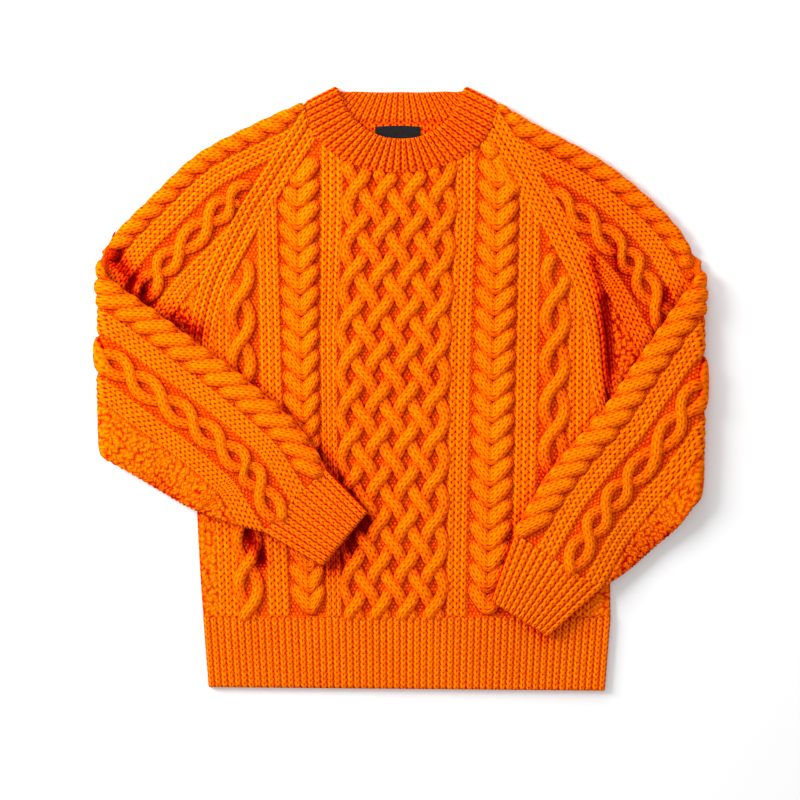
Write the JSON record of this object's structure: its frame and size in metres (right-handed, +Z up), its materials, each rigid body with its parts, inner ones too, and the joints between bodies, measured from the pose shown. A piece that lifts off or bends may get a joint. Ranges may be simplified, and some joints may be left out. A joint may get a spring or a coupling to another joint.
{
  "type": "fisherman sweater",
  "caption": "Crew-neck fisherman sweater in orange cable knit with raglan sleeves, laid flat with both sleeves folded over at the elbow.",
  "frame": {"origin": "middle of the laid garment's outline, on the surface that it lies on", "axes": "+X towards the picture's right, +Y towards the neck, +Z up out of the surface, towards the viewer"},
  "size_m": [0.6647, 0.6633, 0.0224],
  "materials": {
    "orange_wool": "matte, slightly fuzzy heavy knit",
    "label_weave": "satin woven tape"
  },
  "bodies": {
    "root": {"front_panel": "orange_wool", "back_panel": "orange_wool", "front_hem_rib": "orange_wool", "back_hem_rib": "orange_wool", "left_sleeve": "orange_wool", "right_sleeve": "orange_wool", "left_cuff": "orange_wool", "right_cuff": "orange_wool", "neckband": "orange_wool", "neck_label": "label_weave"}
  },
  "joints": []
}
